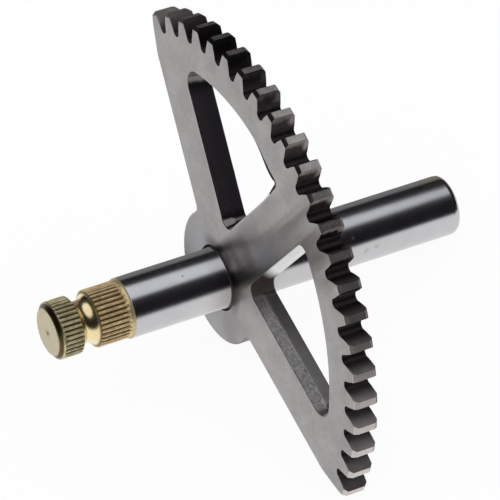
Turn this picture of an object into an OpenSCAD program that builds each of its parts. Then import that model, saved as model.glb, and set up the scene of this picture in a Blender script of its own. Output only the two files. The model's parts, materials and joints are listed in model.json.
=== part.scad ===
// Kickstart shaft of a small engine: a turned steel shaft with a serrated lever end,
// pressed through a toothed sector. It lies at rest on the sector's hub, the sector's
// lower corner and the back end of the shaft. Millimetres.

/* [Shaft] */
// Diameter of the two plain ground journals
journal_d = 13.5; // [12:0.1:15]
// Amount by which the seat that the sector is pressed on is thicker than the journals
seat_step = 0.5; // [0.3:0.1:1]
// Length of the shaft in front of the sector, out to the lever end
front_len = 40.8; // [36:0.2:50]
// Length of the shaft behind the sector
back_len = 52.2; // [40:0.2:70]
// Rounding of the back end
back_round = 1.4; // [0.4:0.1:2.5]
// Diameter of the centre-drill cone in each end face
centre_d = 1.8; // [1:0.1:3]
// Diameter at the bottom of the centre-drill cone
pilot_d = 0.6; // [0.3:0.1:0.8]

/* [Lever end] */
// Length of the plated lever end, from the end face to the ground journal
lever_len = 17.7; // [14:0.1:20]
// Length of the plated collar between the serrations and the ground journal
collar_len = 0.7; // [0.6:0.1:3]
// Amount by which the plated collar is thinner than the journals
collar_step = 0.5; // [0.4:0.1:0.6]
// Outer diameter of the serrations
serration_d = 12.8; // [11.6:0.1:14]
// Number of serrations
serration_count = 36; // [24:1:48]
// Depth of the serrations
serration_depth = 0.45; // [0.2:0.05:0.7]
// Length over which the serrations run out into the collar
run_out = 0.8; // [0.4:0.1:3]
// Chamfer of the lever end along the radius
end_chamfer_r = 1.3; // [0.8:0.1:1.6]
// Chamfer of the lever end along the axis
end_chamfer_t = 1.1; // [0.6:0.1:1.6]
// Distance of the pinch-bolt groove's middle from the end face
groove_at = 7.8; // [6:0.1:9]
// Section radius of the pinch-bolt groove
groove_r = 2.3; // [1.4:0.1:2.8]
// Diameter left at the bottom of the groove
groove_bottom_d = 9.5; // [8:0.1:10.8]

/* [Sector gear] */
// Module of the teeth
gear_module = 2; // [1.8:0.05:2.2]
// Teeth that a whole wheel of this size would have
wheel_teeth = 57; // [54:1:60]
// Teeth on the sector
sector_teeth = 23; // [19:2:25]
// Thickness of the plate
plate_t = 5.5; // [4:0.1:8]
// Depth of the rounded bottom of the tooth spaces, above the root circle
root_round = 0.5; // [0.2:0.1:0.8]
// Chamfer of the tooth tips along the radius
tip_chamfer_r = 0.7; // [0.2:0.1:1]
// Chamfer of the tooth tips along the axis
tip_chamfer_t = 0.8; // [0.2:0.1:1.2]
// Diameter of the hub
hub_d = 30; // [26:0.5:33]
// Rounding of the notch between the hub and each straight edge
notch_r = 1.8; // [0.8:0.1:3]
// Chamfer of the bore's front mouth
bore_chamfer = 0.5; // [0.2:0.1:1]
// Distance by which the straight edges pass behind the shaft's axis
edge_back = 1.1; // [0:0.1:2]
// Angle of each straight edge from the middle of the sector
edge_angle = 71.9; // [70:0.1:73]
// Length over which each straight edge is eased off below the last tooth
edge_relief = 4.5; // [2:0.1:7]

/* [Windows] */
// Width of the middle spoke
spoke_w = 12.6; // [10:0.2:16]
// Width of the two outer ribs
rib_w = 11.6; // [10:0.2:13]
// Radius of the windows' outer arc
window_r = 48; // [44:0.2:50]
// Rounding of the window corner near the hub
inner_corner_r = 2.5; // [1:0.1:3.5]
// Rounding of the two window corners at the rim
rim_corner_r = 2; // [1:0.1:3]

/* [Hidden] */
$fn = 96;

journal_r = journal_d / 2;
seat_r = (journal_d + seat_step) / 2;
// Length of the cone at each end of the press seat, which stands out of the bore
seat_lead = seat_r - journal_r;
hub_r = hub_d / 2;
pitch_angle = 360 / wheel_teeth;
pitch_r = gear_module * wheel_teeth / 2;
tip_r = pitch_r + gear_module;
// Depth of a tooth below the pitch circle, in modules
dedendum = 1.25;
root_r = pitch_r - dedendum * gear_module;
pressure_angle = 20;
base_r = pitch_r * cos(pressure_angle);
// Angle between a centre-drill cone and the axis
centre_half_angle = 60;
// Room by which cutting shapes pass the faces that they cut
past = 1;

// Angle in degrees between a point of the involute at radius r and the flank's start on the base circle
function involute_angle(r) =
    let (t = sqrt(max(0, pow(r / base_r, 2) - 1))) t * 180 / PI - atan(t);
// Half the angle that a tooth space spans at radius r
function space_half_angle(r) =
    pitch_angle / 4 + involute_angle(r) - involute_angle(pitch_r);
function polar(r, a) = [r * cos(a), r * sin(a)];
// Direction along the straight edge on the given side, and the direction from it into the plate
function along(side) = [cos(edge_angle), side * sin(edge_angle)];
function inward(side) = [sin(edge_angle), -side * cos(edge_angle)];
// Point at a distance in from the line of the straight edge, at radius r from the axis
function edge_point(side, inset, r) =
    inset * inward(side) + sqrt(r * r - inset * inset) * along(side);

// Where the easing of a straight edge starts, and where it meets the last tooth's flank
relief_r = root_r - edge_relief;
flank_r = max(base_r, root_r) + root_round;
row_end_angle = sector_teeth / 2 * pitch_angle;
foot_angle = row_end_angle - space_half_angle(flank_r);
// Rest: the spin brings the lower corner level with the hub, and the tilt lays down the back end
corners = [
    edge_point(1, -edge_back, relief_r),
    polar(flank_r, foot_angle),
    polar(tip_r, row_end_angle - space_half_angle(tip_r))
];
spin = max([for (c = corners) atan2(c[1], c[0]) - asin(hub_r / norm(c))]);
end_rise = hub_r - journal_r + back_round;
end_run = back_len - back_round;
tilt = atan(end_rise / end_run) - asin(back_round / norm([end_rise, end_run]));

// Lays a child, made with the shaft's axis on z and the sector's back face at z = 0, as the part rests.
// The origin is where the back journal starts
module at_rest() {
    rotate([-tilt, 0, 0]) rotate([0, -spin, 0]) rotate([-90, 0, 0]) translate([0, 0, -seat_lead]) children();
}

// Half section of the turned blank: radius across, place along the axis upwards
module shaft_section() {
    front = -plate_t - front_len;
    crest_r = serration_d / 2;
    core_r = crest_r - serration_depth;
    core_chamfer_r = end_chamfer_r - serration_depth;
    collar_start = front + lever_len - collar_len;
    collar_chamfer = collar_step / 2;
    pilot_r = pilot_d / 2;
    centre_r = centre_d / 2;
    centre_depth = (centre_r - pilot_r) / tan(centre_half_angle);
    difference() {
        polygon([
            [0, front + centre_depth],
            [pilot_r, front + centre_depth],
            [centre_r, front],
            [core_r - core_chamfer_r, front],
            [core_r, front + end_chamfer_t * core_chamfer_r / end_chamfer_r],
            [core_r, collar_start - run_out],
            [crest_r, collar_start],
            [journal_r - collar_chamfer, collar_start + collar_len / 2],
            [journal_r - collar_chamfer, front + lever_len - collar_chamfer],
            [journal_r, front + lever_len],
            [journal_r, -plate_t - seat_lead],
            [seat_r, -plate_t],
            [seat_r, 0],
            [journal_r, seat_lead],
            [journal_r, back_len],
            [centre_r, back_len],
            [pilot_r, back_len - centre_depth],
            [0, back_len - centre_depth]
        ]);
        // The back end's rounding
        difference() {
            translate([journal_r - back_round, back_len - back_round]) square(back_round + past);
            translate([journal_r - back_round, back_len - back_round]) circle(back_round);
        }
    }
}

// Ring of vee serrations with narrow crests and roots, as long as the lever end needs
module serrations() {
    front = -plate_t - front_len;
    length = lever_len - collar_len;
    crest_r = serration_d / 2;
    step = 360 / serration_count;
    // Half of a crest's flat as a share of the step
    crest_share = 0.12;
    // Room by which the vees pass the crests and the roots, which are both turned to size
    vee_past = 0.1;
    intersection() {
        translate([0, 0, front]) linear_extrude(length)
            polygon([for (i = [0:serration_count - 1]) each [
                polar(crest_r - serration_depth - vee_past, i * step),
                polar(crest_r + vee_past, (i + 0.5 - crest_share) * step),
                polar(crest_r + vee_past, (i + 0.5 + crest_share) * step)
            ]]);
        rotate_extrude() polygon([
            [0, front],
            [crest_r - end_chamfer_r, front],
            [crest_r, front + end_chamfer_t],
            [crest_r, front + length],
            [0, front + length]
        ]);
    }
}

// Ring that cuts the pinch-bolt groove: a round bottom, open outwards
module pinch_groove() {
    rotate_extrude() translate([groove_bottom_d / 2 + groove_r, 0]) {
        circle(groove_r);
        translate([0, -groove_r]) square([serration_d / 2, 2 * groove_r]);
    }
}

module shaft() {
    color("silver") at_rest() difference() {
        union() {
            rotate_extrude() shaft_section();
            serrations();
        }
        translate([0, 0, -plate_t - front_len + groove_at]) pinch_groove();
    }
}

// One tooth space: two involute flanks and a round bottom, cut from outside the tips inwards
module tooth_space() {
    flank_steps = 6;
    floor_steps = 6;
    top_r = tip_r + past;
    flank = [for (i = [0:flank_steps])
        let (r = flank_r + (top_r - flank_r) * i / flank_steps) polar(r, space_half_angle(r))];
    floor_half = flank[0][1];
    floor_at = flank[0][0];
    floor = [for (i = [0:floor_steps])
        let (a = 90 - 180 * i / floor_steps)
        [floor_at - (floor_at - root_r) * cos(a), floor_half * sin(a)]];
    polygon(concat(
        [for (i = [flank_steps:-1:1]) flank[i]],
        floor,
        [for (i = [1:flank_steps]) [flank[i][0], -flank[i][1]]]
    ));
}

// Fills a corner between two tangent points, back to a round of radius r about centre
module corner_fill(centre, r, tangent_a, corner, tangent_b) {
    difference() {
        polygon([centre, tangent_a, corner, tangent_b]);
        translate(centre) circle(r);
    }
}

// Wedge between the two straight edges, each eased off towards the foot of the last tooth
module wedge() {
    reach = 2 * tip_r;
    foot = polar(flank_r, foot_angle);
    bend = edge_point(1, -edge_back, relief_r);
    past_foot = foot + reach * (foot - bend) / norm(foot - bend);
    apex = [-edge_back / sin(edge_angle), 0];
    half = [apex, bend, past_foot, [reach, reach]];
    polygon(concat(half, [for (i = [3:-1:1]) [half[i][0], -half[i][1]]]));
}

// Fill of the notch between the hub and the straight edge on one side
module notch_fill(side) {
    centre = edge_point(side, -edge_back - notch_r, hub_r + notch_r);
    corner_fill(centre, notch_r, centre + notch_r * inward(side), [0, 0], centre * hub_r / (hub_r + notch_r));
}

// One window: the middle spoke, an outer rib and the rim bound it, and its three corners are round
module window(side) {
    rib_inset = rib_w - edge_back;
    spoke_half = spoke_w / 2;
    inner = [(rib_inset + spoke_half * cos(edge_angle)) / sin(edge_angle), side * spoke_half];
    bisector_angle = edge_angle / 2;
    bisector = [cos(bisector_angle), side * sin(bisector_angle)];
    inner_centre = inner + inner_corner_r / sin(bisector_angle) * bisector;
    inner_run = inner_corner_r / tan(bisector_angle);
    rim_in = window_r - rim_corner_r;
    spoke_in = spoke_half + rim_corner_r;
    spoke_centre = [sqrt(rim_in * rim_in - spoke_in * spoke_in), side * spoke_in];
    rib_centre = edge_point(side, rib_inset + rim_corner_r, rim_in);
    difference() {
        intersection() {
            circle(window_r);
            polygon([inner, inner + tip_r * [1, 0], [tip_r, side * tip_r], inner + tip_r * along(side)]);
        }
        corner_fill(inner_centre, inner_corner_r, inner + inner_run * [1, 0],
            inner, inner + inner_run * along(side));
        corner_fill(spoke_centre, rim_corner_r, [spoke_centre[0], side * spoke_half],
            [window_r + past, side * spoke_half], spoke_centre * (window_r + past) / rim_in);
        corner_fill(rib_centre, rim_corner_r, rib_centre - rim_corner_r * inward(side),
            edge_point(side, rib_inset, window_r + past), rib_centre * (window_r + past) / rim_in);
    }
}

// Toothed rim: the wedge cut by the tooth spaces, within a turned blank with chamfered edges
module toothed_wedge() {
    intersection() {
        linear_extrude(plate_t) difference() {
            wedge();
            for (i = [0:sector_teeth])
                rotate((i - sector_teeth / 2) * pitch_angle) tooth_space();
        }
        rotate_extrude() polygon([
            [0, 0],
            [tip_r - tip_chamfer_r, 0],
            [tip_r, tip_chamfer_t],
            [tip_r, plate_t - tip_chamfer_t],
            [tip_r - tip_chamfer_r, plate_t],
            [0, plate_t]
        ]);
    }
}

module sector_gear() {
    through = plate_t + 2 * past;
    color("darkgray") at_rest() translate([0, 0, -plate_t]) difference() {
        union() {
            toothed_wedge();
            cylinder(h = plate_t, r = hub_r);
            for (side = [-1, 1]) linear_extrude(plate_t) notch_fill(side);
        }
        for (side = [-1, 1]) translate([0, 0, -past]) linear_extrude(through) window(side);
        translate([0, 0, -past]) cylinder(h = through, r = seat_r);
        translate([0, 0, -past])
            cylinder(h = past + bore_chamfer, r1 = seat_r + bore_chamfer + past, r2 = seat_r);
    }
}

shaft();
sector_gear();
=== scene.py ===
import json
import bpy
import numpy as np
from mathutils import Matrix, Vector
from mathutils.geometry import tessellate_polygon


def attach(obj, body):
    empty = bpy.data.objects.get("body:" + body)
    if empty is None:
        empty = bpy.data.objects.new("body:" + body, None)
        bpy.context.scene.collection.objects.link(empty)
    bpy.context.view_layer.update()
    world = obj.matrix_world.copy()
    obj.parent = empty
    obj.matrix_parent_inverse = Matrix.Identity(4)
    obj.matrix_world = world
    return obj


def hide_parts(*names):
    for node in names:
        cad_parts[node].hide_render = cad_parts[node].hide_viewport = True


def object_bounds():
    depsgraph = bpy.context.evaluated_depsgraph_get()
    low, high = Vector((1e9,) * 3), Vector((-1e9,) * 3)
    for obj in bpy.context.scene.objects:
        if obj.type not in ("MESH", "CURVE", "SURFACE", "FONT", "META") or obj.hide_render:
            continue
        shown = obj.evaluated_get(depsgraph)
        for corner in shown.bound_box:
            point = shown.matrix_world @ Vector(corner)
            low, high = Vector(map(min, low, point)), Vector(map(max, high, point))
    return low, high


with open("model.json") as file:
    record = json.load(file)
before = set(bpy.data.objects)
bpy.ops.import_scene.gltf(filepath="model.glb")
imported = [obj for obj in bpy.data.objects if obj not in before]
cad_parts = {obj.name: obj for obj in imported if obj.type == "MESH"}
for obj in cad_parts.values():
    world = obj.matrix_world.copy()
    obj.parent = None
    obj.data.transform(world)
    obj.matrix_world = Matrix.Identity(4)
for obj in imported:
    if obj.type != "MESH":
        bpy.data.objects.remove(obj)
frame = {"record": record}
cad_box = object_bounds()

# Shaft: one steel bar, turned between centres and ground on its two plain journals.
# Its lever end has fine serrations and a round groove for the lever's pinch bolt, and is plated with yellow
# zinc up to the front journal. The sector gear is pressed on a seat between the journals.
mm = 0.001
mounts = {mount["name"]: mount for mount in frame["record"]["mounts"]}
axis = np.array(mounts["back_journal"]["axis"])
axis /= np.linalg.norm(axis)
middle = np.array(mounts["sector_teeth"]["axis"])
middle -= axis * (middle @ axis)
middle /= np.linalg.norm(middle)
# The part's own directions: x to the middle of the sector, y to its last tooth, z to the shaft's back end
own_axes = np.stack([middle, np.cross(axis, middle), axis], axis=1)

# Places along the shaft are measured from the sector's back face, radii from the axis, all in millimetres
plate_t = 5.5
journal_r = mounts["back_journal"]["dims"]["r_mm"]
seat_r = 7.0
seat_lead = seat_r - journal_r
back_face = 52.2
back_round = 1.4
centre_r = 0.9
pilot_r = 0.3
centre_depth = 0.35
lever_face = -46.3
end_chamfer_r = 1.3
end_chamfer_t = 1.1
crest_r = 6.4
serration_count = 36
serration_depth = 0.45
groove_at = lever_face + 7.8
groove_r = 2.3
groove_bottom_r = 4.75
plated_to = lever_face + 17.7
collar_len = 0.7
collar_r = journal_r - 0.25
collar_from = plated_to - collar_len
run_in = 0.6
run_out = 0.8
groove_lip = 0.15
# How far the profile's corners are eased
edge_ease = 0.15
centre_ease = 0.3
run_in_ease = 0.05
collar_ease = 0.1
step_ease = 0.03
seat_ease = 0.02


def eased(corners, steps=5, guard=0.12):
    """Profile through (place, radius, ease) corners: each corner is replaced by a quadratic curve that leaves
    the straight lines its ease away on both sides and bends towards the corner. Long lines get a point near
    each end."""
    points = np.array([corner[:2] for corner in corners], float)
    ease = np.array([corner[2] for corner in corners])[:, None]
    before = np.roll(points, 1, axis=0) - points
    after = np.roll(points, -1, axis=0) - points
    start = points + ease * before / np.linalg.norm(before, axis=1, keepdims=True)
    end = points + ease * after / np.linalg.norm(after, axis=1, keepdims=True)
    u = np.linspace(0, 1, steps)[None, :, None]
    curve = (1 - u) ** 2 * start[:, None] + 2 * u * (1 - u) * points[:, None] + u ** 2 * end[:, None]
    curve = curve.reshape(-1, 2)
    step = np.diff(curve, axis=0)
    length = np.linalg.norm(step, axis=1)
    inset = guard * step / np.maximum(length, guard)[:, None]
    runs = np.stack([curve[:-1], curve[:-1] + inset, curve[1:] - inset], axis=1)
    keep = np.stack([length > 1e-6, length > 4 * guard, length > 4 * guard], axis=1)
    return np.concatenate([runs[keep], curve[-1:]])


def serrated(profile, angle):
    """Radius on a grid of places along the shaft and angles round it: the turned profile, cut down to rounded
    vees that rise from root to crest and fall again over each step, while the root itself falls away behind
    the end's chamfer and rises into the collar, beyond which nothing is cut."""
    share = np.abs((angle * serration_count / (2 * np.pi) + 0.5) % 1 - 0.5)
    root_land, crest_land = 0.05, 0.1
    climb = np.clip((share - root_land) / (0.5 - crest_land - root_land), 0, 1)
    vee = 0.5 * climb + 0.25 * (1 - np.cos(np.pi * climb))
    place, radius = profile[:, :1], profile[:, 1:]
    full = crest_r - serration_depth
    cut_from = lever_face + end_chamfer_t
    beyond, uncut = collar_from + 0.01, 2 * journal_r
    root = np.interp(place, [cut_from - 0.1, cut_from + run_in, collar_from - run_out, collar_from, beyond],
                     [crest_r, full, full, crest_r, uncut])
    return np.minimum(radius, np.maximum(root, crest_r - serration_depth * (1 - vee)))


def new_piece(name, points, faces):
    """Mesh object from points in the part's own directions, laid as the part rests. The frame's origin is
    where the back journal starts, at the end of the seat's lead."""
    mesh = bpy.data.meshes.new(name)
    mesh.from_pydata(((points - (0, 0, seat_lead)) @ own_axes.T * mm).tolist(), [], faces)
    mesh.update()
    piece = bpy.data.objects.new(name, mesh)
    bpy.context.collection.objects.link(piece)
    return piece


def ring_quads(rows, columns, first=0):
    """Faces of a grid that closes on itself round its columns."""
    row, column = np.meshgrid(np.arange(rows - 1), np.arange(columns), indexing="ij")
    right = (column + 1) % columns
    quads = np.stack([row * columns + column, row * columns + right,
                      (row + 1) * columns + right, (row + 1) * columns + column], axis=-1)
    return quads.reshape(-1, 4) + first


groove_steps = 33
groove_middle_r = groove_bottom_r + groove_r
groove_open = np.arccos((groove_middle_r - crest_r) / groove_r)
groove_turn = np.linspace(-groove_open, groove_open, groove_steps)
groove = np.stack([groove_at + groove_r * np.sin(groove_turn),
                   groove_middle_r - groove_r * np.cos(groove_turn)], axis=1)
lip = np.array([groove_lip, 0])
profile = np.concatenate([
    eased([
        (lever_face + centre_depth, 0.0, 0.0),
        (lever_face + centre_depth, pilot_r, edge_ease),
        (lever_face, centre_r, centre_ease),
        (lever_face, crest_r - end_chamfer_r, edge_ease),
        (lever_face + end_chamfer_t, crest_r, edge_ease),
        (lever_face + end_chamfer_t + run_in / 2, crest_r, run_in_ease),
        (lever_face + end_chamfer_t + run_in, crest_r, run_in_ease),
        (*(groove[0] - lip), 0.0),
    ])[1:],
    groove,
    eased([
        (*(groove[-1] + lip), 0.0),
        (collar_from - run_out, crest_r, collar_ease),
        (collar_from - run_out / 2, crest_r, collar_ease),
        (collar_from, crest_r, collar_ease),
        (collar_from + collar_len / 2, collar_r, collar_ease),
        (plated_to + collar_r - journal_r, collar_r, step_ease),
        (plated_to, journal_r, step_ease),
        (-plate_t - seat_lead, journal_r, seat_ease),
        (-plate_t, seat_r, seat_ease),
        (0, seat_r, seat_ease),
        (seat_lead, journal_r, seat_ease),
        (back_face, journal_r, back_round),
        (back_face, centre_r, centre_ease),
        (back_face - centre_depth, pilot_r, edge_ease),
        (back_face - centre_depth, 0.0, 0.0),
    ])[:-1],
])
steps_per_serration = 12
columns = steps_per_serration * serration_count
angle = np.arange(columns) * 2 * np.pi / columns
radius = serrated(profile, angle)
place = np.broadcast_to(profile[:, :1], radius.shape)
ring = np.stack([radius * np.cos(angle), radius * np.sin(angle), place], axis=-1)
rows = len(profile)
poles = np.array([[0, 0, profile[0, 0]], [0, 0, profile[-1, 0]]])
points = np.concatenate([ring.reshape(-1, 3), poles])
quads = ring_quads(rows, columns)
left = np.arange(columns)
right = (left + 1) % columns
last = (rows - 1) * columns
fans = np.concatenate([
    np.stack([right, left, np.full(columns, rows * columns)], axis=1),
    np.stack([last + left, last + right, np.full(columns, rows * columns + 1)], axis=1),
])
shaft = new_piece("shaft_bar", points, quads.tolist() + fans.tolist())
face_at = np.concatenate([points[quads, 2].mean(axis=1), points[fans, 2].mean(axis=1)])
shaft.data.polygons.foreach_set("material_index", (face_at < plated_to).astype(np.int32))
shaft.data.shade_smooth()
shaft.data.set_sharp_from_angle(angle=np.radians(50))


def set_inputs(tree, node, inputs):
    """Sets each named input of a node to a value, or links it where a socket is given."""
    for name, value in dict(inputs).items():
        if isinstance(value, bpy.types.NodeSocket):
            tree.links.new(value, node.inputs[name])
        else:
            node.inputs[name].default_value = value
    return node


def add(tree, kind, inputs=(), **settings):
    """Adds a shader node with its own properties and its inputs."""
    node = tree.nodes.new("ShaderNode" + kind)
    for name, value in settings.items():
        setattr(node, name, value)
    return set_inputs(tree, node, inputs)


def calc(tree, operation, *values):
    """Adds a math node and returns its result."""
    return add(tree, "Math", enumerate(values), operation=operation).outputs[0]


def times(tree, value, *others):
    """Product of all the values."""
    for other in others:
        value = calc(tree, "MULTIPLY", value, other)
    return value


def off(tree, value, middle):
    """Distance of a value from a middle one, to either side."""
    return calc(tree, "ABSOLUTE", calc(tree, "SUBTRACT", value, middle))


def ramp(tree, value, start, end, low, high):
    """Takes a value's stretch from start to end smoothly to the stretch from low to high, and holds it
    beyond."""
    inputs = {"Value": value, "From Min": start, "From Max": end, "To Min": low, "To Max": high}
    return add(tree, "MapRange", inputs, interpolation_type="SMOOTHSTEP").outputs["Result"]


def blend(tree, share, first, second):
    """Number that goes from first to second as the share goes from 0 to 1."""
    return add(tree, "Mix", {"Factor": share, "A": first, "B": second}).outputs["Result"]


def mix(tree, share, first, second, how="MIX"):
    """Colour that goes from first to second, or to a blend of the two, as the share goes from 0 to 1."""
    inputs = {"Factor": share, "A": first, "B": second}
    return add(tree, "Mix", inputs, data_type="RGBA", blend_type=how).outputs["Result"]


def split(tree, vector):
    """The three coordinates of a place."""
    return add(tree, "SeparateXYZ", {"Vector": vector}).outputs


def from_axis(tree, own, centre=(0, 0, 0)):
    """Distance of a place from a line along the shaft: its axis, or one through another centre."""
    flat = add(tree, "VectorMath", {0: own, 1: (1, 1, 0)}, operation="MULTIPLY").outputs["Vector"]
    return add(tree, "VectorMath", {0: flat, 1: centre}, operation="DISTANCE").outputs["Value"]


def new_group(name, inputs, outputs):
    """Starts a shader node group with named inputs and outputs, given as a name and a kind of socket each."""
    tree = bpy.data.node_groups.new(name, "ShaderNodeTree")
    for label, kind in inputs.items():
        tree.interface.new_socket(label, in_out="INPUT", socket_type="NodeSocket" + kind)
    for label, kind in outputs.items():
        tree.interface.new_socket(label, in_out="OUTPUT", socket_type="NodeSocket" + kind)
    return tree, tree.nodes.new("NodeGroupInput").outputs, tree.nodes.new("NodeGroupOutput").inputs


def use(tree, group, **inputs):
    """Places a node group in a material with its own values, and returns its outputs."""
    return set_inputs(tree, add(tree, "Group", node_tree=group), inputs).outputs


def new_metal(name):
    """Starts a bare metal: returns the material, its tree, its surface shader and the place on the part, in
    millimetres along the part's own directions."""
    material = bpy.data.materials.new(name)
    material.use_nodes = True
    tree = material.node_tree
    surface = tree.nodes["Principled BSDF"]
    surface.inputs["Metallic"].default_value = 1.0
    there = add(tree, "TexCoord").outputs["Object"]
    turn = Matrix(own_axes.T.tolist()).to_euler()
    own = add(tree, "Mapping", {"Vector": there, "Location": (0, 0, seat_lead), "Rotation": turn,
                                "Scale": [1 / mm] * 3})
    return material, tree, surface, own.outputs["Vector"]


def finish_metal(tree, surface, color, roughness, height, depth):
    """Joins colour, roughness and a height of the given depth in millimetres to the surface shader."""
    bump = add(tree, "Bump", {"Height": height, "Strength": 1.0, "Distance": depth * mm}).outputs["Normal"]
    set_inputs(tree, surface, {"Base Color": color, "Roughness": roughness, "Normal": bump})


# Tone drift: slow changes of tone over a surface, as oil film and handling leave them
tone_drift, given, result = new_group(
    "tone_drift",
    {"Place": "Vector", "Size": "Float", "Contrast": "Float", "Light": "Color", "Dark": "Color"},
    {"Color": "Color", "Mask": "Float"})
scale = calc(tone_drift, "DIVIDE", 1.0, given["Size"])
cloud = add(tone_drift, "TexNoise",
            {"Vector": given["Place"], "Scale": scale, "Detail": 4.0, "Roughness": 0.6}).outputs["Fac"]
centred = calc(tone_drift, "SUBTRACT", cloud, 0.5)
mask = add(tone_drift, "Math", {0: centred, 1: given["Contrast"], 2: 0.5},
           operation="MULTIPLY_ADD", use_clamp=True).outputs[0]
tone_drift.links.new(mask, result["Mask"])
tone_drift.links.new(mix(tone_drift, mask, given["Dark"], given["Light"]), result["Color"])

# Tool lines: fine parallel lines of uneven depth along one coordinate, as grinding and turning leave them
tool_lines, given, result = new_group("tool_lines", {"Along": "Float", "Pitch": "Float"}, {"Height": "Float"})
count = calc(tool_lines, "DIVIDE", given["Along"], given["Pitch"])
lines = add(tool_lines, "TexNoise", {"W": count, "Scale": 1.0, "Detail": 3.0, "Roughness": 0.7},
            noise_dimensions="1D").outputs["Fac"]
tool_lines.links.new(lines, result["Height"])

# Spot mark: one small mark with a ragged edge, such as a nick, a pit or a stain
spot_mark, given, result = new_group(
    "spot_mark", {"Place": "Vector", "Centre": "Vector", "Size": "Float"}, {"Mask": "Float"})
scale = calc(spot_mark, "DIVIDE", 1.5, given["Size"])
rag = add(spot_mark, "TexNoise", {"Vector": given["Place"], "Scale": scale, "Detail": 3.0}).outputs["Fac"]
away = add(spot_mark, "VectorMath", {0: given["Place"], 1: given["Centre"]}, operation="DISTANCE")
share = calc(spot_mark, "ADD", calc(spot_mark, "DIVIDE", away.outputs["Value"], given["Size"]), rag)
spot_mark.links.new(ramp(spot_mark, share, 0.6, 1.3, 1.0, 0.0), result["Mask"])

# Ground journals: bright steel with a stain, a pit, scuffs and a nick
material, tree, surface, own = new_metal("ground_journal")
_, across, along = split(tree, own)
color = use(tree, tone_drift, Place=own, Size=6.0, Contrast=1.8,
            Light=(0.60, 0.595, 0.605, 1), Dark=(0.53, 0.522, 0.537, 1))["Color"]
stain = use(tree, spot_mark, Place=own, Centre=(4.2, -5.3, 48.8), Size=4.5)["Mask"]
color = mix(tree, stain, color, (0.66, 0.60, 0.46, 1))
pit = use(tree, spot_mark, Place=own, Centre=(6.58, -1.5, -15.6), Size=0.4)["Mask"]
color = mix(tree, times(tree, pit, 0.8), color, (0.08, 0.07, 0.07, 1))
specks = use(tree, tone_drift, Place=own, Size=0.4, Contrast=6.0)["Mask"]
for centre in ((4.3, 5.2, 27.9), (4.8, 4.8, 30.6)):
    scuff = use(tree, spot_mark, Place=own, Centre=centre, Size=1.5)["Mask"]
    color = mix(tree, times(tree, scuff, specks, 0.45), color, (0.22, 0.21, 0.23, 1))
# A brown painted reflection of the sector on both journals beside it, stronger on one side, and painted shade
# in the gap of its press fit
from_seat = calc(tree, "SUBTRACT", off(tree, along, -plate_t / 2), plate_t / 2)
painted_reflection = times(tree, ramp(tree, from_seat, 0.0, 7.0, 1.0, 0.0), ramp(tree, across, -2.0, 5.0, 0.25, 0.6))
color = mix(tree, painted_reflection, color, (0.20, 0.165, 0.135, 1))
painted_gap_shade = ramp(tree, from_seat, 0.1, 0.3, 1.0, 0.0)
color = mix(tree, painted_gap_shade, color, (0.07, 0.06, 0.058, 1))
nick = use(tree, spot_mark, Place=own, Centre=(6.44, 2.02, 25.0), Size=0.6)["Mask"]
lines = use(tree, tool_lines, Along=along, Pitch=0.15)["Height"]
rough = calc(tree, "ADD", ramp(tree, lines, 0.2, 0.8, 0.17, 0.24), times(tree, nick, 0.25))
rough = calc(tree, "ADD", rough, times(tree, painted_gap_shade, 0.3))
finish_metal(tree, surface, color, rough, lines, depth=0.0005)
shaft.data.materials.append(material)

# Plated lever end: gold in the groove, cream on the end face
material, tree, surface, own = new_metal("yellow_zinc")
_, _, along = split(tree, own)
reach = from_axis(tree, own)
in_groove = ramp(tree, off(tree, along, groove_at), 1.6, 2.1, 1.0, 0.0)
in_centre = ramp(tree, reach, centre_r + 0.2, centre_r + 0.6, 1.0, 0.0)
on_face = calc(tree, "MAXIMUM", ramp(tree, along, lever_face + 0.05, lever_face + 0.3, 1.0, 0.0), in_centre)
on_chamfer = ramp(tree, off(tree, along, lever_face + end_chamfer_t / 2), 0.4, 0.7, 1.0, 0.0)
on_collar = ramp(tree, along, collar_from, collar_from + 0.2, 0.0, 1.0)
# The serrations are olive before the groove, bronze beyond it, and dark at their roots with painted shade
past_groove = ramp(tree, along, groove_at - 1.0, groove_at + 1.0, 0.0, 1.0)
on_crest = ramp(tree, reach, crest_r - serration_depth, crest_r - 0.1, 0.0, 1.0)
olive = use(tree, tone_drift, Place=own, Size=1.4, Contrast=3.2,
            Light=(0.80, 0.71, 0.45, 1), Dark=(0.40, 0.335, 0.175, 1))["Color"]
bronze = use(tree, tone_drift, Place=own, Size=1.4, Contrast=3.2,
             Light=(0.97, 0.74, 0.40, 1), Dark=(0.60, 0.41, 0.20, 1))["Color"]
color = mix(tree, on_crest, (0.12, 0.082, 0.034, 1), mix(tree, past_groove, olive, bronze))
gold = use(tree, tone_drift, Place=own, Size=3.0, Contrast=2.5,
           Light=(0.98, 0.88, 0.54, 1), Dark=(0.90, 0.70, 0.38, 1))["Color"]
cream = use(tree, tone_drift, Place=own, Size=3.5, Contrast=2.0,
            Light=(0.60, 0.535, 0.365, 1), Dark=(0.53, 0.47, 0.31, 1))["Color"]
color = mix(tree, in_groove, color, gold)
color = mix(tree, on_collar, color, (0.62, 0.52, 0.32, 1))
color = mix(tree, on_face, color, cream)
# The plating has a dull film, rubbed off in the groove and on the end's chamfer
rubbed = calc(tree, "MAXIMUM", in_groove, on_chamfer)
set_inputs(tree, surface, {"Metallic": ramp(tree, rubbed, 0.0, 1.0, 0.78, 1.0)})
grain = add(tree, "TexNoise", {"Vector": own, "Scale": 2.0, "Detail": 2.0}).outputs["Fac"]
smooth = calc(tree, "MAXIMUM", in_groove, times(tree, on_chamfer, 0.3))
rough = blend(tree, smooth, ramp(tree, grain, 0.3, 0.7, 0.36, 0.46), 0.25)
finish_metal(tree, surface, color, rough, grain, depth=0.004)
shaft.data.materials.append(material)

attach(shaft, "root")
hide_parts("shaft")

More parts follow.
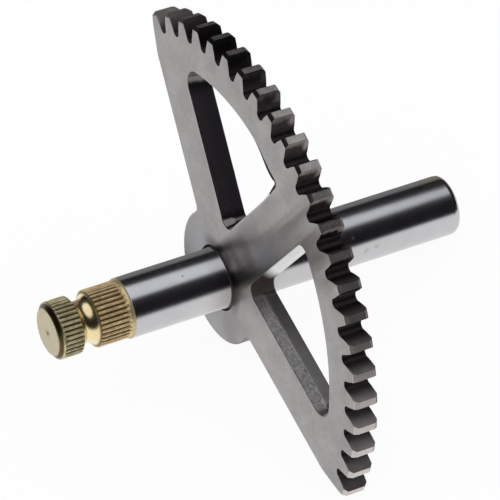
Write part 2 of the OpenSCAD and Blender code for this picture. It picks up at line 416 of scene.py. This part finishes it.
# Sector gear: a fan blanked from steel plate, with two punched windows between its hub, spoke, ribs and rim.
# The rim is turned, with chamfered corners, and hobbed with involute teeth. Its faces are ground satin, and
# the hub is pressed on the shaft's seat.
gear_module = 2.0
wheel_teeth = 57
sector_teeth = 23
pressure_angle = np.radians(20)
pitch = 2 * np.pi / wheel_teeth
pitch_r = gear_module * wheel_teeth / 2
tip_r = pitch_r + gear_module
root_r = pitch_r - 1.25 * gear_module
base_r = pitch_r * np.cos(pressure_angle)
# The involute flanks end here, above the round floors of the tooth spaces
flank_r = root_r + 1.0
tip_chamfer_r = 0.7
tip_chamfer_t = 0.8
hub_r = 15.0
notch_r = 1.8
bore_chamfer = 0.5
bore_break = 0.05
edge_back = 1.1
edge_angle = np.radians(71.9)
edge_relief = 4.5
spoke_half = 6.3
rib_inset = 11.6 - edge_back
window_r = 48.0
inner_corner_r = 2.5
rim_corner_r = 2.0
rib_corner_r = 4.0
# Broken edges of the plate, and the ridge between the torn front and the smooth back of the windows' walls
front_break = 0.2
back_break = 0.12
tooth_break = 0.1
ridge_depth = 2.3
ridge_height = 0.35
ridge_at_back = 0.4


def polar(r, a):
    """Point, or points, at radius r and angle a: r times the angle's cosine and sine."""
    return np.stack(np.broadcast_arrays(r * np.cos(a), r * np.sin(a)), axis=-1)


def tooth_half(r):
    """Half the angle that a tooth spans at radius r: a quarter of the pitch on the pitch circle, less the
    involute's gain from there. The involute is the tangent of the pressure angle less the angle itself."""
    a = np.arccos(base_r / np.array([r, np.full_like(r, pitch_r)]))
    gain = np.tan(a) - a
    return pitch / 4 - (gain[0] - gain[1])


def tooth_row(top):
    """Outline of the row of teeth for each tip radius in top: every tooth climbs one involute flank, crosses
    its tip and comes down the other flank, and a round floor leads to the next. Also tells which stretches
    are tips."""
    climb = np.linspace(0, 1, 9)
    r = flank_r + (top[:, None] - flank_r) * climb
    half = tooth_half(r)
    tip = np.linspace(-1, 1, 5)[1:-1] * half[:, -1:]
    turn = np.linspace(-np.pi / 2, np.pi / 2, 15)[1:-1]
    space_half = pitch / 2 - half[0, 0]
    floor_at, floor_half = flank_r * np.cos(space_half), flank_r * np.sin(space_half)
    floor_x, floor_y = floor_at - (floor_at - root_r) * np.cos(turn), floor_half * np.sin(turn)
    floor_r = np.broadcast_to(np.hypot(floor_x, floor_y), (len(top), len(turn)))
    floor_a = np.broadcast_to(pitch / 2 + np.arctan2(floor_y, floor_x), floor_r.shape)
    unit_r = np.concatenate([r, np.broadcast_to(top[:, None], tip.shape), r[:, ::-1], floor_r], axis=1)
    unit_a = np.concatenate([-half, tip, half[:, ::-1], floor_a], axis=1)
    stretches = [len(climb) - 1, tip.shape[1] + 1, len(climb) + len(turn)]
    on_tip = np.repeat([False, True, False], stretches)
    centre = (np.arange(sector_teeth) - (sector_teeth - 1) / 2) * pitch
    row_a = (unit_a[:, None, :] + centre[None, :, None]).reshape(len(top), -1)
    row = polar(np.tile(unit_r, sector_teeth), row_a)[:, :-len(turn)]
    return row, np.tile(on_tip, sector_teeth)[:row.shape[1]]


def along_edge(side):
    """Direction of a straight edge, out from the hub."""
    return np.array([np.cos(edge_angle), side * np.sin(edge_angle)])


def into_plate(side):
    """Direction square to a straight edge, towards the spoke."""
    return np.array([np.sin(edge_angle), -side * np.cos(edge_angle)])


def edge_point(side, inset, r):
    """Point at a distance in from the line of a straight edge, at radius r."""
    return inset * into_plate(side) + np.sqrt(r * r - inset * inset) * along_edge(side)


def arc(centre, r, start, end, steps):
    """Points on the shorter arc about centre, from the direction of start to that of end."""
    a = np.arctan2(*(start - centre)[::-1])
    b = np.arctan2(*(end - centre)[::-1])
    b = a + (b - a + np.pi) % (2 * np.pi) - np.pi
    return centre + polar(r, np.linspace(a, b, steps))


def line(start, end, steps):
    """Inner points of a straight line."""
    return start + (end - start) * np.linspace(0, 1, steps + 1)[1:-1, None]


def hub_side():
    """Outline from the last tooth's foot along the eased edge, the straight edge, the notch and round the
    hub, then back along the other edge to the first tooth's foot."""
    halves = []
    for side in (1, -1):
        bend = edge_point(side, -edge_back, root_r - edge_relief)
        notch = edge_point(side, -edge_back - notch_r, hub_r + notch_r)
        on_edge, on_hub = notch + notch_r * into_plate(side), notch * hub_r / (hub_r + notch_r)
        notch_arc = arc(notch, notch_r, on_edge, on_hub, steps=11)
        halves.append(np.concatenate([bend[None], line(bend, on_edge, steps=8), notch_arc]))
    start = np.arctan2(*halves[0][-1][::-1])
    hub_steps = 120
    hub = polar(hub_r, np.linspace(start, 2 * np.pi - start, hub_steps)[1:-1])
    return np.concatenate([halves[0], hub, halves[1][::-1]])


def window(side):
    """Outline of one window: round the corner near the hub, along the spoke, the rim's two corners with its
    arc between them, and back along the rib."""
    inner = np.array([(rib_inset + spoke_half * np.cos(edge_angle)) / np.sin(edge_angle), side * spoke_half])
    run = inner_corner_r / np.tan(edge_angle / 2)
    inner_centre = inner + inner_corner_r / np.sin(edge_angle / 2) * polar(1.0, side * edge_angle / 2)
    on_spoke, on_rib = inner + run * np.array([1, 0]), inner + run * along_edge(side)
    rim_in, spoke_in = window_r - rim_corner_r, spoke_half + rim_corner_r
    spoke_corner = np.array([np.sqrt(rim_in ** 2 - spoke_in ** 2), side * spoke_in])
    rib_corner = edge_point(side, rib_inset + rib_corner_r, window_r - rib_corner_r)
    spoke_end = spoke_corner - np.array([0, side * rim_corner_r])
    rib_end = rib_corner - rib_corner_r * into_plate(side)
    rim_start = spoke_corner * window_r / rim_in
    rim_end = rib_corner * window_r / (window_r - rib_corner_r)
    loop = np.concatenate([
        arc(inner_centre, inner_corner_r, on_rib, on_spoke, steps=19),
        line(on_spoke, spoke_end, steps=70),
        arc(spoke_corner, rim_corner_r, spoke_end, rim_start, steps=11),
        arc(np.zeros(2), window_r, rim_start, rim_end, steps=40)[1:-1],
        arc(rib_corner, rib_corner_r, rim_end, rib_end, steps=19),
        line(rib_end, on_rib, steps=70),
    ])
    return loop if side < 0 else loop[::-1]


# Levels of the plate's walls: the rounds of both edges, and the plain wall with a guard level near each edge
corner_turn = np.linspace(0, np.pi / 2, 6)
front_guard = 0.55
back_guard = plate_t - 0.2
plain_levels = np.linspace(tip_chamfer_t, plate_t - tip_chamfer_t, 9)
straight = np.concatenate([[front_guard], plain_levels, [back_guard]])
levels = 2 * len(corner_turn) + len(straight)


def depths(front, back):
    """Depth below the front face at each level, and how far the outline is set in there: quarter rounds of
    the front and back sizes at the corners, and a plain wall between them."""
    down, inset = 1 - np.cos(corner_turn)[:, None], 1 - np.sin(corner_turn)[:, None]
    plain = np.broadcast_to(straight[:, None], (len(straight), len(front)))
    return (np.concatenate([down * front, plain, plate_t - (down * back)[::-1]]),
            np.concatenate([inset * front, 0 * plain, (inset * back)[::-1]]))


def wall(loops, depth, inset):
    """Surface over an outline and the plate's depth: each level's outline, moved into the plate by its
    inset."""
    run = np.roll(loops, -1, axis=-2) - np.roll(loops, 1, axis=-2)
    run /= np.linalg.norm(run, axis=-1, keepdims=True)
    inward = np.stack([-run[..., 1], run[..., 0]], axis=-1)
    return np.concatenate([loops + inset[..., None] * inward, (depth - plate_t)[..., None]], axis=-1)


def ridge(depth):
    """How far a window's wall stands into the opening: up to the ridge over the torn part, then part of the
    way back over the smooth part."""
    return ridge_height * np.interp(depth, [0, ridge_depth, plate_t], [0, 1, ridge_at_back])


def bulge(loop, centre, height, reach):
    """Bell-shaped bulge of the outline about a point."""
    return height * np.exp(-(np.linalg.norm(loop - centre, axis=1) / reach) ** 2)


# Each wall comes with the finish of its faces, in the order of the materials below
space_part, tip_part, edge_part, recess_part, face_part = range(5)
tooth_level = depths(np.array([tooth_break]), np.array([tooth_break]))[0][:, 0]
from_face = np.minimum(tooth_level, plate_t - tooth_level)
row, on_tip = tooth_row(tip_r - tip_chamfer_r * np.clip(1 - from_face / tip_chamfer_t, 0, 1))
sides = hub_side()
outer = np.concatenate([row, np.broadcast_to(sides, (levels, *sides.shape))], axis=1)
teeth, others = row.shape[1], len(sides)
depth, inset = depths(np.repeat([tooth_break, front_break], [teeth, others]),
                      np.repeat([tooth_break, back_break], [teeth, others]))
part = np.concatenate([np.where(on_tip, tip_part, space_part), np.full(others, edge_part)])
walls = [(wall(outer, depth, inset), part)]
# The upper window has a worn corner between spoke and rim, with a dark strip on its edge, and a burr on its
# back edge
worn_corner, worn_size, worn_reach, worn_bevel, dark_strip_from = (46.9, -10.5), 2.2, 5.5, 0.5, 0.2
burr_at, burr_size, burr_reach, burr_depth = (17.7, -17.6), 0.6, 0.6, 1.0
for side in (-1, 1):
    loop = window(side)
    depth, inset = depths(np.full(len(loop), front_break), np.full(len(loop), back_break))
    worn = bulge(loop, worn_corner, worn_size, worn_reach)
    inset[:len(corner_turn)] *= 1 + worn_bevel * worn / front_break
    at_back = np.clip((depth - plate_t + burr_depth) / burr_depth, 0, 1)
    burr = bulge(loop, burr_at, burr_size, burr_reach) * at_back
    part = np.full((levels - 1, len(loop)), edge_part)
    part[:len(corner_turn) - 1, worn > dark_strip_from * worn_size] = recess_part
    walls.append((wall(loop[None], depth, inset - ridge(depth) - worn - burr), part))
bore_steps = 120
bore = polar(seat_r, -np.arange(bore_steps) * 2 * np.pi / bore_steps)
depth, inset = depths(np.full(bore_steps, bore_chamfer), np.full(bore_steps, bore_break))
walls.append((wall(bore[None], depth, inset), np.full(bore_steps, recess_part)))

points, faces, parts = [], [], []
start = 0
rims = {0: [], levels - 1: []}
for grid, part in walls:
    count = grid.shape[1]
    points.append(grid.reshape(-1, 3))
    faces += ring_quads(levels, count, start).tolist()
    parts.append(np.broadcast_to(part, (levels - 1, count)).ravel())
    for level in rims:
        rims[level].append(start + level * count + np.arange(count))
    start += levels * count
points = np.concatenate(points)
# The front and back faces fill the area between the walls' rims, each turned to look outwards
for level, loops in rims.items():
    index = np.concatenate(loops)
    fill = np.array(tessellate_polygon([[(*points[i, :2], 0.0) for i in loop] for loop in loops]))
    corner = points[index[fill], :2]
    a, b = corner[:, 1] - corner[:, 0], corner[:, 2] - corner[:, 0]
    turned = (a[:, 0] * b[:, 1] > a[:, 1] * b[:, 0]) != (level > 0)
    fill[turned] = fill[turned][:, ::-1]
    faces += index[fill].tolist()
    parts.append(np.full(len(fill), face_part))
parts = np.concatenate(parts)
gear = new_piece("sector_fan", points, faces)
gear.data.polygons.foreach_set("material_index", parts.astype(np.int32))
gear.data.polygons.foreach_set("use_smooth", parts != face_part)
gear.data.set_sharp_from_angle(angle=np.radians(32))

# Flanks and floors between the teeth, dark with painted shade
material, tree, surface, own = new_metal("tooth_spaces")
surface.inputs["Specular Tint"].default_value = (0.15, 0.14, 0.14, 1)
x, y, z = split(tree, own)
reach = from_axis(tree, own)
root_shade_tone = use(tree, tone_drift, Place=own, Size=1.5, Contrast=2.0,
                Light=(0.062, 0.053, 0.055, 1), Dark=(0.036, 0.030, 0.031, 1))["Color"]
lit_flank_tone = use(tree, tone_drift, Place=own, Size=2.5, Contrast=2.0,
                Light=(0.42, 0.38, 0.36, 1), Dark=(0.27, 0.24, 0.23, 1))["Color"]
# Painted light on the flanks: lighter along their tips and back edges, on the last teeth on the outer half of
# one flank, and dimmer on the upper teeth
cloud = add(tree, "TexNoise", {"Vector": own, "Scale": 0.9}).outputs["Fac"]
stray = times(tree, calc(tree, "SUBTRACT", cloud, 0.5), 1.2)
rough_reach = calc(tree, "ADD", reach, stray)
tip_rim = ramp(tree, rough_reach, tip_r - 1.5, tip_r - 0.2, 0.0, 0.8)
near_back = ramp(tree, calc(tree, "ADD", z, stray), -2.0, -0.5, 0.0, 1.0)
back_rim = times(tree, near_back, ramp(tree, rough_reach, root_r + 1.2, pitch_r + 0.8, 0.0, 1.0))
turn = calc(tree, "DIVIDE", calc(tree, "ARCTAN2", y, x), pitch)
one_flank = ramp(tree, calc(tree, "WRAP", turn, 0.5, -0.5), -0.05, 0.05, 1.0, 0.0)
outer_half = times(tree, ramp(tree, reach, pitch_r - 1.2, tip_r + 0.3, 0.0, 0.7), one_flank)
last_teeth = ramp(tree, y, 6.0, 18.0, 0.0, 1.0)
lit_share = blend(tree, last_teeth, calc(tree, "MAXIMUM", tip_rim, back_rim), outer_half)
lit_share = times(tree, lit_share, ramp(tree, y, -42.0, -12.0, 0.1, 1.0))
# The first teeth are lighter grey instead
first_teeth = (-53.5, -43.0)
first_lighter = times(tree, ramp(tree, y, *first_teeth, 0.6, 0.0), ramp(tree, reach, root_r, pitch_r, 0.2, 1.0))
color = mix(tree, calc(tree, "MAXIMUM", lit_share, first_lighter), root_shade_tone, lit_flank_tone)
marks = use(tree, tool_lines, Along=reach, Pitch=0.3)["Height"]
finish_metal(tree, surface, color, ramp(tree, reach, root_r, pitch_r, 0.60, 0.40), marks, depth=0.002)
gear.data.materials.append(material)

# The tips' tone is painted reflection: darker on the upper teeth, darkest in the middle and lightest on the
# lower teeth
material, tree, surface, own = new_metal("turned_tips")
_, y, z = split(tree, own)
dim_reflection_tone = use(tree, tone_drift, Place=own, Size=1.6, Contrast=2.4,
              Light=(0.34, 0.31, 0.29, 1), Dark=(0.20, 0.18, 0.17, 1))["Color"]
bright_reflection_tone = use(tree, tone_drift, Place=own, Size=1.6, Contrast=2.4,
            Light=(0.64, 0.60, 0.575, 1), Dark=(0.44, 0.405, 0.39, 1))["Color"]
color = mix(tree, ramp(tree, y, -40.0, -8.0, 0.0, 1.0), dim_reflection_tone, bright_reflection_tone)
# Painted reflection darkens the tips in the middle of the row
painted_reflection = times(tree, ramp(tree, y, -7.0, -1.0, 0.0, 0.65), ramp(tree, y, 8.0, 18.0, 1.0, 0.0))
color = mix(tree, painted_reflection, color, (0.16, 0.143, 0.135, 1))
# Painted reflection lightens the tips of the lower teeth
color = mix(tree, ramp(tree, y, 6.0, 22.0, 0.0, 0.6), color, (0.82, 0.74, 0.71, 1))
nicks = use(tree, tone_drift, Place=own, Size=0.6, Contrast=9.0)["Mask"]
color = mix(tree, ramp(tree, nicks, 0.8, 1.0, 0.0, 0.2), color, (0.72, 0.70, 0.68, 1))
# Painted shade lies on the front chamfers of the upper teeth and on the back chamfers of the lower ones
on_front = ramp(tree, z, tip_chamfer_t - plate_t - 0.2, tip_chamfer_t - plate_t, 1.0, 0.0)
on_back = ramp(tree, z, -tip_chamfer_t, 0.2 - tip_chamfer_t, 0.0, 1.0)
upper = calc(tree, "MINIMUM", ramp(tree, y, *first_teeth, 0.15, 0.95), ramp(tree, y, -4.0, 6.0, 0.95, 0.0))
lower = ramp(tree, y, 2.0, 10.0, 0.3, 0.9)
painted_dark = calc(tree, "MAXIMUM", times(tree, on_front, upper), times(tree, on_back, lower))
color = mix(tree, painted_dark, color, (0.02, 0.017, 0.017, 1))
lines = use(tree, tool_lines, Along=z, Pitch=0.2)["Height"]
finish_metal(tree, surface, color, ramp(tree, lines, 0.3, 0.7, 0.42, 0.52), lines, depth=0.002)
gear.data.materials.append(material)

# Beyond the spoke the lower window's wall is torn in front, up to a line that wanders beside the ridge
material, tree, surface, own = new_metal("blanked_edges")
x, y, z = split(tree, own)
wander = add(tree, "TexNoise", {"Vector": own, "Scale": 0.45, "Detail": 3.0}).outputs["Fac"]
edge = calc(tree, "ADD", z, times(tree, wander, 1.6))
on_rib = ramp(tree, y, spoke_half + 0.4, spoke_half + 3.5, 0.0, 1.0)
ridge_z = ridge_depth - plate_t
torn = times(tree, on_rib, ramp(tree, edge, ridge_z + 0.6, ridge_z + 1.1, 1.0, 0.0))
bright = use(tree, tone_drift, Place=own, Size=2.5, Contrast=2.0,
             Light=(0.66, 0.64, 0.645, 1), Dark=(0.54, 0.52, 0.52, 1))["Color"]
# Painted shade darkens the upper window's wall far out along its rib
upper_end_shade = ramp(tree, y, -38.0, -34.0, 0.85, 0.0)
bright = mix(tree, upper_end_shade, bright, (0.10, 0.088, 0.082, 1))
# Painted dark reflection on the spoke's walls near the hub
spoke_dark_reflection = times(tree, ramp(tree, x, 16.0, 21.0, 0.9, 0.0), ramp(tree, y, -11.0, -9.0, 0.0, 1.0))
bright = mix(tree, spoke_dark_reflection, bright, (0.15, 0.13, 0.125, 1))
dull = use(tree, tone_drift, Place=own, Size=2.5, Contrast=2.0,
           Light=(0.30, 0.28, 0.275, 1), Dark=(0.21, 0.195, 0.19, 1))["Color"]
# Painted shade darkens the rib's wall towards the inner corner by the spoke
dull = mix(tree, ramp(tree, y, spoke_half, 32.0, 0.9, 0.0), dull, (0.05, 0.043, 0.042, 1))
torn_tone = use(tree, tone_drift, Place=own, Size=0.6, Contrast=2.4,
                Light=(0.32, 0.302, 0.298, 1), Dark=(0.12, 0.111, 0.109, 1))["Color"]
# A painted highlight runs along the ridge at the torn band's edge
ridge_highlight = calc(tree, "SUBTRACT", 1.0, times(tree, off(tree, torn, 0.7), 3.0))
torn_tone = mix(tree, ramp(tree, ridge_highlight, 0.0, 1.0, 0.0, 0.55), torn_tone, (0.62, 0.60, 0.595, 1))
# Painted shade darkens the torn band towards the inner corner by the spoke
near_spoke = ramp(tree, y, spoke_half + 1.0, 17.0, 0.85, 0.0)
torn_tone = mix(tree, near_spoke, torn_tone, (0.03, 0.026, 0.026, 1))
color = mix(tree, torn, mix(tree, on_rib, bright, dull), torn_tone)
# Painted dark reflection lies in the lower window's corner along the spoke, reaching less far towards the
# back, and the wall there is not metal
dark_slope = 1.45
along_dark = calc(tree, "ADD", x, times(tree, z, dark_slope))
by_spoke = times(tree, ramp(tree, off(tree, y, spoke_half), 1.2, 3.2, 1.0, 0.0),
                 ramp(tree, x, 8.0, 10.0, 0.0, 1.0))
painted_dark = times(tree, by_spoke, ramp(tree, along_dark, 14.5, 21.5, 1.0, 0.0))
color = mix(tree, painted_dark, color, (0.045, 0.035, 0.03, 1))
set_inputs(tree, surface, {"Metallic": calc(tree, "SUBTRACT", 1.0, painted_dark), "Specular IOR Level": 0.0})
tear = add(tree, "TexNoise", {"Vector": own, "Scale": 2.4, "Detail": 4.0, "Roughness": 0.65}).outputs["Fac"]
height = times(tree, calc(tree, "SUBTRACT", tear, 0.5), torn)
finish_metal(tree, surface, color, ramp(tree, torn, 0.0, 1.0, 0.22, 0.42), height, depth=0.06)
gear.data.materials.append(material)

# The bore's mouth, dark with painted shade in the gap round the shaft, and the dark strip on the edge of the
# worn corner
material, tree, surface, own = new_metal("dark_bore_and_strip")
surface.inputs["Specular Tint"].default_value = (0.15, 0.14, 0.14, 1)
_, _, z = split(tree, own)
color = use(tree, tone_drift, Place=own, Size=2.0, Contrast=2.0,
            Light=(0.15, 0.13, 0.125, 1), Dark=(0.075, 0.063, 0.061, 1))["Color"]
lines = use(tree, tool_lines, Along=z, Pitch=0.2)["Height"]
finish_metal(tree, surface, color, ramp(tree, lines, 0.3, 0.7, 0.45, 0.55), lines, depth=0.002)
gear.data.materials.append(material)

# Front and back faces of the plate, with straight grain
material, tree, surface, own = new_metal("satin_faces")
x, _, _ = split(tree, own)
reach = from_axis(tree, own)
drift = use(tree, tone_drift, Place=own, Size=7.0, Contrast=2.2,
            Light=(0.415, 0.392, 0.385, 1), Dark=(0.305, 0.290, 0.292, 1))["Color"]
blotch = use(tree, tone_drift, Place=own, Size=1.4, Contrast=2.4,
             Light=(1.07, 1.06, 1.055, 1), Dark=(0.91, 0.91, 0.925, 1))["Color"]
color = mix(tree, 1.0, drift, blotch, "MULTIPLY")
# A round patch of the hub is bluer, with rings about the shaft instead of straight grain
boss_at = (-7.3, 0, 0)
boss = ramp(tree, from_axis(tree, own, boss_at), 14.9, 15.3, 1.0, 0.0)
color = mix(tree, times(tree, boss, 0.6), color, (0.32, 0.322, 0.345, 1))
# Painted reflection and shade of the shaft darken the face beside its seat, towards the spoke and below the
# hub, and as a halo round the bore on the spoke's side
for at_x, at_y, size, share in ((9.0, -1.2, 4.0, 0.95), (13.0, -0.2, 5.0, 0.85), (18.5, 0.6, 6.5, 0.55),
                                (8.0, 5.0, 4.0, 0.6), (-4.0, 11.0, 10.0, 0.3)):
    painted_dark = use(tree, spot_mark, Place=own, Centre=(at_x, at_y, -plate_t), Size=size)["Mask"]
    color = mix(tree, times(tree, painted_dark, share), color, (0.105, 0.068, 0.052, 1))
shaft_shade_halo = times(tree, ramp(tree, reach, seat_r + 0.5, seat_r + 4.0, 1.0, 0.0),
             ramp(tree, x, -1.0, 5.0, 0.0, 0.85))
color = mix(tree, shaft_shade_halo, color, (0.04, 0.03, 0.029, 1))
bend = add(tree, "TexNoise", {"Vector": own, "Scale": 0.12}).outputs["Fac"]
bent_x = calc(tree, "ADD", x, times(tree, bend, 3.0))
grain = use(tree, tool_lines, Along=bent_x, Pitch=0.35)["Height"]
rings = use(tree, tool_lines, Along=reach, Pitch=0.3)["Height"]
lines = blend(tree, boss, grain, rings)
color = mix(tree, ramp(tree, lines, 0.3, 0.7, 0.08, 0.0), color, (0.1, 0.1, 0.1, 1))
finish_metal(tree, surface, color, ramp(tree, lines, 0.25, 0.75, 0.30, 0.38), lines, depth=0.0006)
gear.data.materials.append(material)

# The journals' bright and dark bands run on up to the sector, so it stays out of mirror images
gear.visible_glossy = False
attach(gear, "root")
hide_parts("sector_gear")

# Studio: a white table under the part, an open white sky, and black cards that stand round it for its
# reflections. The cards show only in the metal; the part's faint shadow stays on the table.
floor_z = cad_box[0][2]
table_reach = 3.0


def stage_piece(name, points, faces, color):
    """Stage object with a matt material of one colour, and its material."""
    mesh = bpy.data.meshes.new(name)
    mesh.from_pydata(points, [], faces)
    mesh.update()
    thing = bpy.data.objects.new(name, mesh)
    bpy.context.collection.objects.link(thing)
    material = bpy.data.materials.new(name)
    material.use_nodes = True
    set_inputs(material.node_tree, material.node_tree.nodes["Principled BSDF"],
               {"Base Color": color, "Roughness": 1.0, "Specular IOR Level": 0.0})
    mesh.materials.append(material)
    return thing, material


corners = [(x * table_reach, y * table_reach, floor_z) for x, y in ((-1, -1), (1, -1), (1, 1), (-1, 1))]
_, material = stage_piece("white_table", corners, [(0, 1, 2, 3)], (0.93, 0.93, 0.93, 1))
tree = material.node_tree
ray = add(tree, "LightPath").outputs
seen = calc(tree, "MAXIMUM", ray["Is Camera Ray"], ray["Is Glossy Ray"])
seen = calc(tree, "MAXIMUM", seen, ray["Is Transmission Ray"])
# In mirror images the table darkens on the side of the sector's lower corner
across, _, _ = split(tree, add(tree, "TexCoord").outputs["Object"])
fade = times(tree, ray["Is Glossy Ray"], ramp(tree, across, 0.06, 0.20, 0.0, 0.98))
glow = add(tree, "Emission", {"Color": mix(tree, fade, (1, 1, 1, 1), (0, 0, 0, 1)), "Strength": 1.0})
glow_share = 0.94
matt = tree.nodes["Principled BSDF"].outputs[0]
lit = add(tree, "MixShader", {0: times(tree, seen, glow_share), 1: matt, 2: glow.outputs[0]})
tree.links.new(lit.outputs[0], tree.nodes["Material Output"].inputs["Surface"])

# A ring of black card up to the open sky
ring_r = 1.0
ring_at = (-0.11, 0.0)
sky_angle = np.radians(50.8)
ring_steps = 96
foot = ring_at + polar(ring_r, np.arange(ring_steps) * 2 * np.pi / ring_steps)
ring = [np.c_[foot, np.full(ring_steps, z)] for z in (floor_z, floor_z + ring_r * np.tan(sky_angle))]
black, _ = stage_piece("black_card", np.concatenate(ring).tolist(), ring_quads(2, ring_steps).tolist(),
                       (0.019, 0.0165, 0.019, 1))

# Dark grey card behind the shaft: a sheet on the table, cut on a slant beyond the shaft's end, and a low
# screen
over_table = floor_z + 0.0004
far_from, far_to, slant = (-0.012, -0.014), 0.055, 0.9
far_x, screen_top = -0.6, 0.15
sheet = [(far_x, far_from[1], over_table), (*far_from, over_table), (far_from[0], far_to, over_table),
         (far_x, far_to + slant * (far_from[0] - far_x), over_table)]
screen = [(x, y, screen_top) for x, y, _ in (sheet[0], sheet[3])]
grey, _ = stage_piece("grey_card", sheet + screen, [(0, 1, 2, 3), (0, 3, 5, 4)], (0.26, 0.246, 0.236, 1))
for card in (black, grey):
    card.visible_camera = card.visible_diffuse = card.visible_shadow = card.visible_transmission = False

world = bpy.data.worlds.new("white_sky")
bpy.context.scene.world = world
world.use_nodes = True
sky = world.node_tree.nodes["Background"]
set_inputs(world.node_tree, sky, {"Color": (0.93, 0.96, 1.0, 1), "Strength": 1.0})
bpy.context.scene.view_settings.view_transform = "Standard"

# Camera: a long lens that looks down on the part from the side of the teeth, rolled slightly
eye = np.array([0.538465, -0.242205, 0.616903])
aim = np.array([-0.001623, 0.003551, 0.002849])
roll = np.radians(-6.2804)
forward = (aim - eye) / np.linalg.norm(aim - eye)
level = np.cross(forward, [0, 0, 1])
level /= np.linalg.norm(level)
right = np.cos(roll) * level + np.sin(roll) * np.cross(level, forward)
up = np.cross(right, forward)
lens = bpy.data.cameras.new("camera")
lens.sensor_width = 36.0
lens.lens = 285.03
lens.clip_end = 20.0
camera = bpy.data.objects.new("camera", lens)
camera.matrix_world = Matrix([(right[i], up[i], -forward[i], eye[i]) for i in range(3)] + [(0, 0, 0, 1)])
bpy.context.collection.objects.link(camera)
bpy.context.scene.camera = camera
